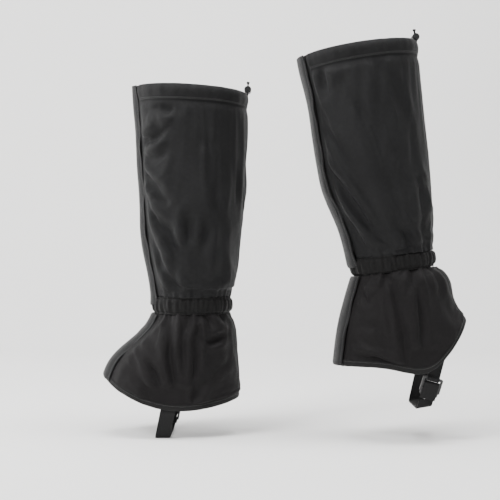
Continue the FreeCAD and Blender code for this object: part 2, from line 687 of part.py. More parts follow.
def lace_hook(side):
    """A steel hook bent from strip, with a slot for its tab, and the tab sewn behind the panel."""
    drop, reach, strip = -size("hook_drop"), size("hook_reach"), size("hook_thickness")
    plate = bent_strip(f"{side}_hook_plate", [(0, strip), (0, drop), (-reach, drop), (-reach, drop + 6)],
                       (2.6, 2.6), strip, size("hook_width"))
    slot = bound_box(f"{side}_hook_slot", ("-sizes.hook_width / 2 + 1.2", "sizes.hook_width / 2 - 1.2"),
                     ("-2", "2"), ("-4.6", "-1.2"))
    hook = cut(f"{side}_hook", plate, slot)
    hook.Placement = hook_frame(side)
    hook.Label = f"{side}_lace_hook"
    tab = looped_tab(f"{side}_hook_tab", "1.75", "1.0", "sizes.hook_width - 2.8", "2", "16")
    tilt = FreeCAD.Placement(FreeCAD.Vector(0, 0, 0), turn_about((1, 0, 0), -size(f"{side}_hook_tilt")))
    tab.Placement = hook_frame(side).multiply(tilt)
    tab.Label = f"{side}_lace_hook_tab"


def build_gaiter(side):
    cutter = hem_cutter(side)
    calf_panels(side)
    foot_panels(side, cutter)
    hem_binding(side, cutter)
    ankle_band(side)
    top_hem(side)
    closure(side, "calf", CALF_FLAP, tape_heights(side, "band_top", "top"))
    closure(side, "foot", FOOT, tape_heights(side, "hem", "band_low"), cutter)
    drawcord(side)
    eyelets(side)
    knot(side)
    cord_lock(side)
    instep_strap(side)
    buckle_tab(side)
    ladder_buckle(side)
    strap_end(side)
    lace_hook(side)


NODES = (
    "calf_outer_panel", "calf_inner_panel", "foot_outer_panel", "foot_inner_panel", "hem_binding", "ankle_band",
    "ankle_elastic", "top_hem_channel", "calf_flap", "calf_hook_tape", "calf_loop_tape", "foot_flap",
    "foot_hook_tape", "foot_loop_tape", "drawcord", "drawcord_eyelets", "drawcord_knot", "cord_lock_barrel",
    "cord_lock_button", "cord_lock_spring", "instep_strap", "buckle_tab", "ladder_buckle", "strap_end",
    "lace_hook", "lace_hook_tab",
)


def check_and_write():
    bad = [o.Name for o in doc.Objects if set(o.State) & {"Invalid", "Error"}]
    if bad:
        raise RuntimeError(f"objects that failed: {bad}")
    os.makedirs("parts", exist_ok=True)
    labelled = {o.Label: o for o in doc.Objects}
    for side in SIDES:
        for node in NODES:
            shape = labelled[f"{side}_{node}"].Shape
            if shape.isNull() or not shape.isValid() or not shape.Solids:
                raise RuntimeError(f"{side}_{node} has no valid solid")
            shape.exportStep(f"parts/{side}_{node}.step")
            print(f"{side}_{node}: {len(shape.Solids)} solid, {shape.Volume / 1000:.2f} cm3")


write_sheet()
for gaiter_side in SIDES:
    build_gaiter(gaiter_side)
doc.recompute()
check_and_write()
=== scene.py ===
"""Looks of a pair of hiking gaiters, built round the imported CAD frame. All lengths are in metres."""
import json
import math
import bmesh
import bpy
import numpy as np
from mathutils import Matrix, Vector
from mathutils.bvhtree import BVHTree


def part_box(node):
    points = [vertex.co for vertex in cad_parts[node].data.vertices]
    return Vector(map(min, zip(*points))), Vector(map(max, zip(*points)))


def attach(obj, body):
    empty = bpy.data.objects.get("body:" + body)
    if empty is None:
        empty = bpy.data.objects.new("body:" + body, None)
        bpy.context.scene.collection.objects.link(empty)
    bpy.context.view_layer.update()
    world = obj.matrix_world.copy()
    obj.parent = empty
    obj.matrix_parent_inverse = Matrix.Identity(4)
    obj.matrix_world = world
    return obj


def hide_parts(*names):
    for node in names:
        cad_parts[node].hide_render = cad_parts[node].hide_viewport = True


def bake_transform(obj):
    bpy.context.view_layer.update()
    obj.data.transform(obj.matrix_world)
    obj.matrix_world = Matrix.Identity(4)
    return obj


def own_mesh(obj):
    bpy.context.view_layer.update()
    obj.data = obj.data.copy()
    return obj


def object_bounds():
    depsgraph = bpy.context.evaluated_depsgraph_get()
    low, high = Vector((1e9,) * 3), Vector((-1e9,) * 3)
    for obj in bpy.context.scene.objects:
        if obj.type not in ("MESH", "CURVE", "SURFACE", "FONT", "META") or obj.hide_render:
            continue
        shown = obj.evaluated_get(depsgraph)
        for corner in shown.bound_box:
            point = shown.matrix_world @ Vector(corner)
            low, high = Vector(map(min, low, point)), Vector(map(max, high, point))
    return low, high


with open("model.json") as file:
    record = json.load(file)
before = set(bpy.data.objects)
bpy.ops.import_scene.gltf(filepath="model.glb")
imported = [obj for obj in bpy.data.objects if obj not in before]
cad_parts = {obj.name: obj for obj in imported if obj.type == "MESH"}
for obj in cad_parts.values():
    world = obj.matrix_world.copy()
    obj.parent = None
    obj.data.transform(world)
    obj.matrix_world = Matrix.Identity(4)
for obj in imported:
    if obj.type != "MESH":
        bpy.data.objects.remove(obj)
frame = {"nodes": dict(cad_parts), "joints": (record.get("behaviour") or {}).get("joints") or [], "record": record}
CAD_LOW, CAD_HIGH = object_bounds()
RECORD = frame["record"]
MOUNTS = {m["name"]: m for m in RECORD["mounts"]}
JOINTS = {j["name"]: j for j in frame["joints"]}
SIDES = ("right", "left")
MM = 0.001
UP = Vector((0, 0, 1))
ACROSS = Vector((0, 1, 0))


# ---- small helpers ---------------------------------------------------------------------------------------

def smooth(x, low, high):
    """0 below low, 1 above high, and a smooth step between. Works on arrays."""
    t = np.clip((x - low) / (high - low), 0.0, 1.0)
    return t * t * (3 - 2 * t)


def link(name, mesh, *materials):
    thing = bpy.data.objects.new(name, mesh)
    bpy.context.scene.collection.objects.link(thing)
    for material in materials:
        mesh.materials.append(material)
    return thing


def mesh_from(name, vertices, faces):
    mesh = bpy.data.meshes.new(name)
    mesh.from_pydata([tuple(v) for v in vertices], [], faces)
    mesh.shade_smooth()
    return mesh


def apply_modifiers(thing):
    """Replace the mesh by its evaluated one, so that no modifier is left."""
    graph = bpy.context.evaluated_depsgraph_get()
    mesh = bpy.data.meshes.new_from_object(thing.evaluated_get(graph), depsgraph=graph)
    thing.modifiers.clear()
    old = thing.data
    thing.data = mesh
    bpy.data.meshes.remove(old)


def vertices_of(mesh):
    flat = np.empty(len(mesh.vertices) * 3)
    mesh.vertices.foreach_get("co", flat)
    return flat.reshape(-1, 3)


def centre_of(node):
    low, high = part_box(node)
    return (low + high) / 2


def solid_tree(*nodes):
    vertices, faces = [], []
    for node in nodes:
        mesh = frame["nodes"][node].data
        start = len(vertices)
        vertices += [v.co.copy() for v in mesh.vertices]
        faces += [[start + i for i in p.vertices] for p in mesh.polygons]
    return BVHTree.FromPolygons(vertices, faces)


def leg_line(side):
    """The place of the ankle joint, and the direction from it to the top opening."""
    ankle = Vector(JOINTS[f"{side}_ankle_flex"]["pos_m"])
    top = Vector(MOUNTS[f"{side}_leg_opening"]["pos_m"])
    return ankle, (top - ankle).normalized()


def blend_ankle(piece):
    """Bake a piece's placement into its mesh."""
    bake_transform(piece)


def stand_in(piece, node, body=None):
    """Put a piece in place of a CAD node. A piece without a body here is attached or baked in place by its caller.
    """
    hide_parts(node)
    if body:
        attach(piece, body)


# ---- node materials --------------------------------------------------------------------------------------

class Shader:
    """A short way to write a node material."""

    def __init__(self, name, colour, roughness, **sockets):
        self.material = bpy.data.materials.new(name)
        self.material.use_nodes = True
        self.tree = self.material.node_tree
        self.surface = self.tree.nodes["Principled BSDF"]
        self.surface.inputs["Base Color"].default_value = (*colour, 1)
        self.surface.inputs["Roughness"].default_value = roughness
        for socket, value in sockets.items():
            self.surface.inputs[socket.replace("_", " ")].default_value = value
        self.material.diffuse_color = (*colour, 1)

    def node(self, kind, inputs=None, **settings):
        made = self.tree.nodes.new(f"ShaderNode{kind}")
        for setting, value in settings.items():
            setattr(made, setting, value)
        for socket, value in (inputs or {}).items():
            if isinstance(value, bpy.types.NodeSocket):
                self.tree.links.new(value, made.inputs[socket])
            else:
                made.inputs[socket].default_value = value
        return made

    def math(self, operation, a, b=0.0):
        return self.node("Math", {0: a, 1: b}, operation=operation).outputs[0]

    def ramp(self, value, *stops):
        """A colour ramp through (position, colour) stops."""
        made = self.node("ValToRGB", {"Fac": value})
        while len(made.color_ramp.elements) < len(stops):
            made.color_ramp.elements.new(0.5)
        for element, (position, colour) in zip(made.color_ramp.elements, stops):
            element.position = position
            element.color = (*colour, 1)
        return made.outputs["Color"]

    def weave(self, pitch):
        """Over and under threads in the cloth's own UV metres: high where a warp thread is on top."""
        place = self.node("UVMap", uv_map="Cloth").outputs["UV"]
        split = self.node("SeparateXYZ", {"Vector": place})
        turns = 2 * math.pi / pitch
        warp = self.math("SINE", self.math("MULTIPLY", split.outputs["X"], turns))
        weft = self.math("SINE", self.math("MULTIPLY", split.outputs["Y"], turns))
        return self.math("MULTIPLY", warp, weft)

    def noise(self, scale, detail=3.0, vector=None):
        inputs = {"Scale": scale, "Detail": detail}
        if vector is None:
            vector = self.node("TexCoord").outputs["Object"]
        inputs["Vector"] = vector
        return self.node("TexNoise", inputs).outputs["Fac"]

    def bump(self, *heights):
        """Chain bumps: (height, strength, distance)."""
        normal = None
        for height, strength, distance in heights:
            inputs = {"Height": height, "Strength": strength, "Distance": distance}
            if normal is not None:
                inputs["Normal"] = normal
            normal = self.node("Bump", inputs).outputs["Normal"]
        self.tree.links.new(normal, self.surface.inputs["Normal"])

    def drive(self, socket, value):
        self.tree.links.new(value, self.surface.inputs[socket])


def tint(colour, factor):
    return tuple(c * factor for c in colour)


def cloth_material(name, colour, pitch, roughness, sheen):
    """Plain-woven nylon: threads, a faint mottle, and a painted highlight along the raised threads."""
    s = Shader(name, colour, roughness, Sheen_Weight=sheen, Sheen_Roughness=0.5, Specular_IOR_Level=0.10)
    threads = s.weave(pitch)
    mottle = s.noise(260.0, 4.0)
    drift = s.noise(22.0, 2.0)
    patches = s.math("ADD", s.math("MULTIPLY", mottle, 0.5), s.math("MULTIPLY", drift, 0.5))
    # The raised threads are painted lighter, a painted highlight; the mottle and drift are random tone.
    value = s.math("ADD", s.math("MULTIPLY", threads, 0.12), patches)
    stops = (0.25, tint(colour, 0.72)), (0.52, colour), (0.8, tint(colour, 1.45))
    s.drive("Base Color", s.ramp(value, *stops))
    s.drive("Roughness", s.math("ADD", s.math("MULTIPLY", drift, 0.16), roughness - 0.08))
    s.bump((threads, 0.35, 0.00025), (mottle, 0.25, 0.0006))
    return s.material


def webbing_material(name, colour, pitch):
    """Woven webbing: herringbone ribs across."""
    s = Shader(name, colour, 0.6, Sheen_Weight=0.03, Sheen_Roughness=0.5, Specular_IOR_Level=0.15)
    place = s.node("UVMap", uv_map="Cloth").outputs["UV"]
    split = s.node("SeparateXYZ", {"Vector": place})
    zigzag = s.math("PINGPONG", split.outputs["X"], 0.0024)
    along = s.math("MULTIPLY", s.math("ADD", split.outputs["Y"], zigzag), 2 * math.pi / pitch)
    ribs = s.math("SINE", along)
    fibre = s.noise(900.0, 4.0)
    value = s.math("ADD", s.math("MULTIPLY", ribs, 0.25), fibre)
    s.drive("Base Color", s.ramp(value, (0.2, tint(colour, 0.6)), (0.55, colour), (0.9, tint(colour, 1.7))))
    s.bump((ribs, 0.5, 0.0003), (fibre, 0.3, 0.0004))
    return s.material


def fuzzy_material(name, colour, scale, depth):
    """Hook or loop tape: a dense pile."""
    s = Shader(name, colour, 0.85, Sheen_Weight=0.1, Sheen_Roughness=0.6, Specular_IOR_Level=0.15)
    where = s.node("TexCoord").outputs["Object"]
    cells = s.node("TexVoronoi", {"Vector": where, "Scale": scale}).outputs["Distance"]
    fuzz = s.noise(scale * 1.5, 4.0)
    s.drive("Base Color", s.ramp(cells, (0.0, tint(colour, 1.8)), (0.6, colour), (1.0, tint(colour, 0.5))))
    s.bump((cells, 0.9, depth), (fuzz, 0.5, depth))
    return s.material


def plastic_material(name, colour):
    """Moulded acetal: fine grain and faint scuffs."""
    s = Shader(name, colour, 0.38, Specular_IOR_Level=0.5)
    grain = s.noise(1400.0, 2.0)
    scuff = s.noise(90.0, 5.0)
    s.drive("Roughness", s.math("ADD", s.math("MULTIPLY", scuff, 0.25), 0.28))
    s.drive("Base Color", s.ramp(scuff, (0.3, tint(colour, 0.85)), (0.6, colour), (0.85, tint(colour, 1.6))))
    s.bump((grain, 0.18, 0.0002), (scuff, 0.1, 0.0003))
    return s.material


def steel_material(name, colour):
    """Darkened steel with fine drawing marks and brighter wear."""
    s = Shader(name, colour, 0.35, Metallic=1.0)
    where = s.node("TexCoord").outputs["Object"]
    stretched = s.node("Mapping", {"Vector": where, "Scale": (1, 1, 14)}).outputs["Vector"]
    marks = s.noise(500.0, 3.0, stretched)
    wear = s.noise(150.0, 4.0)
    s.drive("Base Color", s.ramp(wear, (0.35, tint(colour, 0.8)), (0.55, colour), (0.75, tint(colour, 1.5))))
    s.drive("Roughness", s.math("ADD", s.math("MULTIPLY", marks, 0.2), 0.25))
    s.bump((marks, 0.15, 0.0002))
    return s.material


def thread_material(name, colour):
    s = Shader(name, colour, 0.55, Sheen_Weight=0.3)
    ply = s.noise(2500.0, 2.0)
    s.drive("Base Color", s.ramp(ply, (0.3, tint(colour, 0.7)), (0.7, tint(colour, 1.4))))
    s.bump((ply, 0.4, 0.0002))
    return s.material


def stage_material(name, colour):
    s = Shader(name, colour, 0.9)
    patches = s.noise(3.0, 3.0)
    s.drive("Base Color", s.ramp(patches, (0.35, tint(colour, 0.985)), (0.65, colour)))
    return s.material


CALF_CLOTH = cloth_material("calf_nylon", (0.0095, 0.0095, 0.0099), 0.0009, 0.55, 0.03)
FOOT_CLOTH = cloth_material("foot_nylon", (0.0073, 0.0066, 0.0069), 0.0011, 0.6, 0.03)
BAND_CLOTH = cloth_material("band_nylon", (0.0064, 0.0062, 0.0062), 0.0009, 0.6, 0.03)
# The flap nylon is the calf nylon painted about 1.6 times lighter: a painted highlight for the light caught along
# the flap's edge.
FLAP_PAINTED_HIGHLIGHT_CLOTH = cloth_material("flap_nylon_painted_highlight", (0.0150, 0.0150, 0.0155), 0.0009, 0.5, 0.05)
BINDING = webbing_material("binding_rib", (0.0075, 0.0073, 0.0073), 0.0012)
WEBBING = webbing_material("strap_webbing", (0.0075, 0.0075, 0.0078), 0.0016)
ELASTIC = webbing_material("knitted_elastic", (0.012, 0.012, 0.012), 0.0010)
CORD = webbing_material("braided_cord", (0.008, 0.008, 0.008), 0.0009)
HOOK_TAPE = fuzzy_material("hook_tape", (0.008, 0.008, 0.008), 900.0, 0.0006)
LOOP_TAPE = fuzzy_material("loop_tape", (0.010, 0.010, 0.010), 1600.0, 0.0008)
PLASTIC = plastic_material("moulded_plastic", (0.010, 0.010, 0.0105))
STEEL = steel_material("dark_steel", (0.20, 0.20, 0.21))
THREAD = thread_material("sewing_thread", (0.020, 0.0195, 0.019))
STAGE = stage_material("pale_floor", (0.90, 0.895, 0.885))


# ---- surfaces sampled from the CAD -----------------------------------------------------------------------

class Skin:
    """The outer face of a tube of cloth, as a grid of points: one column per angle, one row per step.
    Column 0 is at the rear, the middle column at the front. Row 0 is at the ankle."""

    def __init__(self, tree, frames, columns, rows):
        self.points = np.zeros((columns, rows, 3))
        turns = (np.arange(columns) + 0.5) / columns * 2 * math.pi
        profiles = [self.profile(tree, frames, turn, rows) for turn in turns]
        for column, profile in enumerate(profiles):
            step = 1
            while profile is None:
                profile = profiles[(column + step) % columns]
                step = -step if step > 0 else 1 - step
            self.points[column] = profile
        self.turns = turns

    @staticmethod
    def hit(tree, frames, turn, t):
        origin, direction = frames(turn, t)
        reach = 0.3
        spot = tree.ray_cast(origin + direction * reach, -direction, reach)[0]
        return spot

    def profile(self, tree, frames, turn, rows):
        scan = np.linspace(0, 1, 90)
        hits = [self.hit(tree, frames, turn, t) for t in scan]
        good = [i for i, h in enumerate(hits) if h is not None]
        if len(good) < 10:
            return None
        first, last = good[0], good[-1]
        start = self.edge(tree, frames, turn, scan[first], scan[max(first - 1, 0)])
        end = self.edge(tree, frames, turn, scan[last], scan[min(last + 1, len(scan) - 1)])
        line = [start] + [h for h in hits[first:last + 1] if h is not None] + [end]
        line = np.array([tuple(p) for p in line])
        steps = np.r_[0, np.cumsum(np.linalg.norm(np.diff(line, axis=0), axis=1))]
        even = np.linspace(0, steps[-1], rows)
        return np.stack([np.interp(even, steps, line[:, k]) for k in range(3)], axis=1)

    def edge(self, tree, frames, turn, inside, outside):
        """The last point that is still on the cloth, between a row that hits it and one that misses."""
        spot = self.hit(tree, frames, turn, inside)
        for _ in range(9):
            middle = (inside + outside) / 2
            found = self.hit(tree, frames, turn, middle)
            if found is None:
                outside = middle
            else:
                inside, spot = middle, found
        return spot


def grid_normals(points):
    around = np.roll(points, -1, axis=0) - np.roll(points, 1, axis=0)
    along = np.gradient(points, axis=1)
    normal = np.cross(around, along)
    return normal / np.linalg.norm(normal, axis=2, keepdims=True).clip(1e-9)


def winds_outward(points):
    """Whether the faces of a closed grid, taken column by column, look away from its middle."""
    away = points - points.mean(axis=0, keepdims=True)
    return np.einsum("crk,crk->cr", grid_normals(points), away).mean() > 0


def normals_of(points):
    """Outward normals of a closed grid of points."""
    return grid_normals(points) * (1 if winds_outward(points) else -1)


def calf_frames(side):
    """Rays square to the line from the ankle to the top opening."""
    ankle, axis = leg_line(side)
    top = Vector(MOUNTS[f"{side}_leg_opening"]["pos_m"])
    rearward = ACROSS.cross(axis)
    low, high = ankle - axis * 0.02, top + axis * 0.03

    def frame_at(turn, t):
        direction = rearward * math.cos(turn) + ACROSS * math.sin(turn)
        return low.lerp(high, t), direction
    return frame_at


def foot_frames(side):
    """A fan of rays from a point inside the boot, from the ankle down to the lower hem."""
    low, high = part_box(f"{side}_foot_outer_panel")
    band = centre_of(f"{side}_ankle_band")
    hub = Vector(((low.x + high.x + 2 * band.x) / 4, band.y, low.z * 0.38 + high.z * 0.62))

    def frame_at(turn, t):
        rise = math.radians(75 - 140 * t)
        flat = Vector((math.cos(turn), math.sin(turn), 0))
        return hub, flat * math.cos(rise) + UP * math.sin(rise)
    return frame_at


# ---- folds -----------------------------------------------------------------------------------------------

# Valleys in the cloth, as points (across, along). Creases were marked by eye on the photograph, and a scratch
# script that isn't handed in turned the marks into these parts. 85 of the 148 points are as it printed them,
# and the rest were changed or added. This is a fault.
# Across is 0 at the front edge and 1 at the rear edge of the side that faces -Y, and along is 0 at the ankle
# band and 1 at the top opening or the lower hem.
CALF_VALLEYS = {
    "right": (
        ((0.10, 0.87), (0.23, 0.89)), ((0.05, 0.72), (0.14, 0.75), (0.25, 0.78)),
        ((0.05, 0.66), (0.14, 0.67), (0.31, 0.69)), ((0.03, 0.60), (0.20, 0.52), (0.26, 0.48)),
        ((0.11, 0.49), (0.25, 0.45), (0.31, 0.44)), ((0.16, 0.38), (0.27, 0.32), (0.37, 0.24), (0.42, 0.03)),
        ((0.73, 0.69), (0.73, 0.57), (0.78, 0.45), (0.84, 0.30), (0.86, 0.12)),
        ((0.70, 0.35), (0.65, 0.26), (0.60, 0.02)), ((0.64, 0.74), (0.75, 0.71)),
        ((0.23, 0.89), (0.39, 0.88)),
        ((0.04, 0.29), (0.15, 0.20), (0.20, 0.02)), ((0.49, 0.38), (0.52, 0.21), (0.51, 0.02)),
        ((0.92, 0.63), (0.96, 0.41)), ((0.28, 0.16), (0.31, 0.02)), ((0.70, 0.15), (0.72, 0.02)),
    ),
    "left": (
        ((0.56, 0.95), (0.70, 0.82), (0.81, 0.63), (0.83, 0.44), (0.84, 0.36)),
        ((0.27, 0.84), (0.35, 0.72), (0.46, 0.60), (0.53, 0.40), (0.59, 0.25), (0.62, 0.02)),
        ((0.02, 0.68), (0.15, 0.56), (0.27, 0.40), (0.36, 0.22), (0.49, 0.02)),
        ((0.02, 0.47), (0.11, 0.37), (0.23, 0.24), (0.33, 0.04)), ((0.65, 0.38), (0.71, 0.26), (0.79, 0.03)),
        ((0.10, 0.94), (0.12, 0.80)), ((0.02, 0.24), (0.10, 0.16), (0.18, 0.03)),
        ((0.87, 0.35), (0.89, 0.03)),
        ((0.40, 0.14), (0.42, 0.02)), ((0.70, 0.12), (0.71, 0.02)),
    ),
}
FOOT_VALLEYS = {
    "right": (
        ((0.21, 0.01), (0.33, 0.43), (0.45, 0.85)), ((0.35, 0.01), (0.39, 0.42), (0.47, 0.80)),
        ((0.50, 0.01), (0.53, 0.40), (0.56, 0.69), (0.55, 0.92)), ((0.74, 0.01), (0.69, 0.39), (0.67, 0.73),
                                                                     (0.61, 0.95)),
        ((0.13, 0.13), (0.19, 0.02)), ((0.03, 0.36), (0.23, 0.61), (0.38, 0.93)),
        ((0.03, 0.66), (0.22, 0.81), (0.36, 0.95)), ((0.77, 0.30), (0.95, 0.24)),
        ((0.78, 0.73), (0.90, 0.56), (0.97, 0.54)), ((0.66, 0.91), (0.77, 0.65)),
        ((0.90, 0.01), (0.97, 0.11)),
        ((0.61, 0.01), (0.60, 0.20)), ((0.28, 0.01), (0.31, 0.16)), ((0.82, 0.01), (0.84, 0.14)),
    ),
    "left": (
        ((0.23, 0.01), (0.36, 0.34), (0.48, 0.72), (0.55, 0.97)), ((0.37, 0.01), (0.47, 0.32), (0.53, 0.64),
                                                                     (0.57, 0.95)),
        ((0.55, 0.02), (0.57, 0.36), (0.59, 0.73)), ((0.71, 0.02), (0.73, 0.55), (0.72, 0.90)),
        ((0.88, 0.02), (0.91, 0.26), (0.87, 0.38)), ((0.07, 0.18), (0.14, 0.30)),
        ((0.06, 0.55), (0.24, 0.57), (0.38, 0.77)), ((0.07, 0.87), (0.25, 0.90), (0.46, 0.97)),
        ((0.03, 0.01), (0.08, 0.10)), ((0.30, 0.01), (0.33, 0.14)), ((0.46, 0.01), (0.48, 0.15)),
        ((0.63, 0.01), (0.64, 0.18)), ((0.80, 0.01), (0.81, 0.16)),
    ),
}


def position(across, along, columns, rows, facing):
    """Grid position of a point across and along a side. Facing is -1 for the -Y side, 1 for the other."""
    turn = math.acos(np.clip(2 * across - 1, -1, 1))
    column = turn / (2 * math.pi) * columns - 0.5
    return (column if facing > 0 else columns - 1 - column), along * (rows - 1)


def fold_field(points, valleys, width, depth):
    """How far each grid point moves out (+) or in (-) for the listed valleys, on both sides of the leg."""
    columns, rows = points.shape[:2]
    field = np.zeros((columns, rows))
    column_index = np.broadcast_to(np.arange(columns)[:, None], (columns, rows))
    for facing in (-1, 1):
        for number, valley in enumerate(valleys):
            line = [position(a + (0.04 * math.sin(7 * number) if facing > 0 else 0), b, columns, rows, facing)
                    for a, b in valley]
            spots = np.array([points[int(round(np.clip(c, 0, columns - 1))), int(round(r))] for c, r in line])
            total = np.linalg.norm(np.diff(spots, axis=0), axis=1).sum()
            nearest = np.full((columns, rows), 9.0)
            taper = np.zeros((columns, rows))
            side = np.zeros((columns, rows))
            walked = 0.0
            for a, b in zip(spots[:-1], spots[1:]):
                span = b - a
                length = np.linalg.norm(span)
                t = np.clip(((points - a) @ span) / length ** 2, 0, 1)
                offset = points - (a + t[..., None] * span)
                distance = np.linalg.norm(offset, axis=2)
                closer = distance < nearest
                nearest = np.where(closer, distance, nearest)
                place = (walked + t * length) / total
                taper = np.where(closer, np.sin(math.pi * (0.12 + 0.80 * place)), taper)
                side = np.where(closer, offset[..., 0], side)
                walked += length
            half = columns / 2
            same_side = (column_index > half) if facing < 0 else (column_index < half)
            spread = nearest / width
            valley_shape = -np.exp(-spread ** 2) + 0.62 * np.exp(-((spread - 1.9) / 0.9) ** 2)
            strength = 0.75 + 0.35 * math.sin(3.1 * number + facing)
            field += depth * strength * taper * np.where(same_side, valley_shape, 0)
    return field


# ---- cloth simulation ------------------------------------------------------------------------------------

def tube_mesh(name, points, outer_only=None):
    """A mesh from a closed grid, or from some of its columns, with UVs in metres of cloth."""
    columns, rows = points.shape[:2]
    picked = list(range(columns)) if outer_only is None else outer_only
    closed = outer_only is None
    index = {(c, r): i * rows + r for i, c in enumerate(picked) for r in range(rows)}
    vertices = points[picked].reshape(-1, 3)
    pairs = list(zip(picked, picked[1:] + ([picked[0]] if closed else [])))
    step = 1 if winds_outward(points) else -1
    faces = [(index[a, r], index[b, r], index[b, r + 1], index[a, r + 1])[::step]
             for a, b in pairs for r in range(rows - 1)]
    mesh = mesh_from(name, vertices, faces)
    middle = points[:, rows // 2]
    girth = np.r_[0, np.cumsum(np.linalg.norm(np.diff(middle, axis=0), axis=1))]
    length = np.linalg.norm(np.diff(points.mean(axis=0), axis=0), axis=1).sum()
    cloth = mesh.uv_layers.new(name="Cloth")
    order = {i: key for key, i in index.items()}
    for face in mesh.polygons:
        for loop in face.loop_indices:
            column, row = order[mesh.loops[loop].vertex_index]
            cloth.data[loop].uv = (girth[column], length * row / (rows - 1))
    return mesh


def simulate(name, points, hold, form, growth, frames):
    """Let the cloth, cut a little larger than the surface, settle on its form. hold is 1 where it is sewn."""
    columns, rows = points.shape[:2]
    thing = link(name, tube_mesh(name, points))
    body = link(f"{name}_form", tube_mesh(f"{name}_form", form))
    body.modifiers.new("Collision", "COLLISION")
    body.collision.thickness_outer = 0.001
    body.collision.cloth_friction = 12
    group = thing.vertex_groups.new(name="hold")
    for i, weight in enumerate(hold.reshape(-1)):
        group.add([i], float(weight), "REPLACE")
    cloth = thing.modifiers.new("Cloth", "CLOTH")
    settings = cloth.settings
    settings.quality = 5
    settings.mass = 0.12
    settings.tension_stiffness = settings.compression_stiffness = 18
    settings.shear_stiffness = 6
    settings.bending_stiffness = 5
    settings.tension_damping = settings.compression_damping = 12
    settings.vertex_group_mass = "hold"
    settings.pin_stiffness = 1
    settings.shrink_min = -growth
    settings.shrink_max = -growth
    cloth.collision_settings.use_self_collision = False
    cloth.collision_settings.distance_min = 0.001
    scene = bpy.context.scene
    cloth.point_cache.frame_start, cloth.point_cache.frame_end = 1, frames
    for frame_number in range(1, frames + 1):
        scene.frame_set(frame_number)
    graph = bpy.context.evaluated_depsgraph_get()
    moved = vertices_of(thing.evaluated_get(graph).data).reshape(columns, rows, 3)
    for made in (thing, body):
        mesh = made.data
        bpy.data.objects.remove(made)
        bpy.data.meshes.remove(mesh)
    scene.frame_set(1)
    return moved


def capped(base, moved, inward, outward):
    """The moved cloth, kept within a distance of the surface that it started on."""
    normal = normals_of(base)
    shift = moved - base
    out = np.einsum("crk,crk->cr", shift, normal)
    slide = shift - out[..., None] * normal
    size = np.linalg.norm(slide, axis=2, keepdims=True)
    slide = slide * np.minimum(1, 0.004 / size.clip(1e-9))
    out = np.where(out > 0, outward * np.tanh(out / outward), -inward * np.tanh(-out / inward))
    return base + slide + out[..., None] * normal


def middle_of(side):
    return centre_of(f"{side}_ankle_band").y


def strap_zone(points, side):
    """1 on the parts of a foot panel that the strap's ends lie against, fading to 0 round them."""
    zone = np.zeros(points.shape[:2])
    for node in ("instep_strap", "buckle_tab", "ladder_buckle"):
        low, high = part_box(f"{side}_{node}")
        beside = np.maximum(low.x - points[..., 0], points[..., 0] - high.x)
        above = points[..., 2] - high.z
        zone = np.maximum(zone, (1 - smooth(beside, 0.006, 0.020)) * (1 - smooth(above, 0.004, 0.016)))
    return zone


def front_zone(points, side, half, fade):
    """1 on the strip under the front flap, fading to 0 beside it."""
    across = np.abs(points[..., 1] - middle_of(side))
    rearmost = (points[..., 0] > points[..., 0].mean(axis=0, keepdims=True))
    return np.where(rearmost, 0.0, 1 - smooth(across, half, half + fade))


# ---- the camera ------------------------------------------------------------------------------------------

EYE = Vector((0.1105, -1.390, 0.2366))
camera = bpy.data.objects.new("camera", bpy.data.cameras.new("camera"))
camera.data.lens = 77
camera.data.sensor_width = 36
camera.location = EYE
camera.rotation_euler = (math.radians(90), 0, 0)
bpy.context.scene.collection.objects.link(camera)
bpy.context.scene.camera = camera


# ---- calf and foot panels --------------------------------------------------------------------------------

COLUMNS = 144
CALF_ROWS = 132
FOOT_ROWS = 72
CLOTH_THICKNESS = 0.0009


def thicken(thing, thickness, offset=-1.0, levels=1):
    if levels:
        subdivide = thing.modifiers.new("Subdivision", "SUBSURF")
        subdivide.levels = subdivide.render_levels = levels
        subdivide.boundary_smooth = "PRESERVE_CORNERS"
    solidify = thing.modifiers.new("Solidify", "SOLIDIFY")
    solidify.thickness = thickness
    solidify.offset = offset
    apply_modifiers(thing)
    thing.data.shade_smooth()


def halves(side):
    """Column lists of the outer and the inner half."""
    first, second = list(range(COLUMNS // 2)), list(range(COLUMNS // 2, COLUMNS))
    return {"outer": first, "inner": second} if side == "right" else {"outer": second, "inner": first}


def slit_columns(points, columns, side):
    """Columns without those in the slit at the front."""
    middle = middle_of(side)
    at = points[:, points.shape[1] // 2]
    front = at[:, 0] < at[:, 0].mean()
    return [c for c in columns if not (front[c] and abs(at[c, 1] - middle) < 0.0015)]


def rows_along(points):
    """0 at the first row and 1 at the last, for each grid point."""
    columns, rows = points.shape[:2]
    return np.broadcast_to(np.linspace(0, 1, rows), (columns, rows))


def gathers(columns, seed, coarse=27, fine=43):
    """An irregular ripple round the leg, from -1 to 1, that repeats after a full turn."""
    turn = (np.arange(columns) + 0.5) / columns * 2 * math.pi
    warp = 0.35 * np.sin(2 * turn + seed) + 0.22 * np.sin(5 * turn + 2.1 * seed)
    ripple = (0.55 * np.sin(coarse * turn + 5 * warp + seed)
              + 0.35 * np.sin(fine * turn + 7 * warp + 1.7 * seed)
              + 0.25 * np.sin((coarse + 8) * turn - 4 * warp))
    return np.clip(ripple, -1, 1)


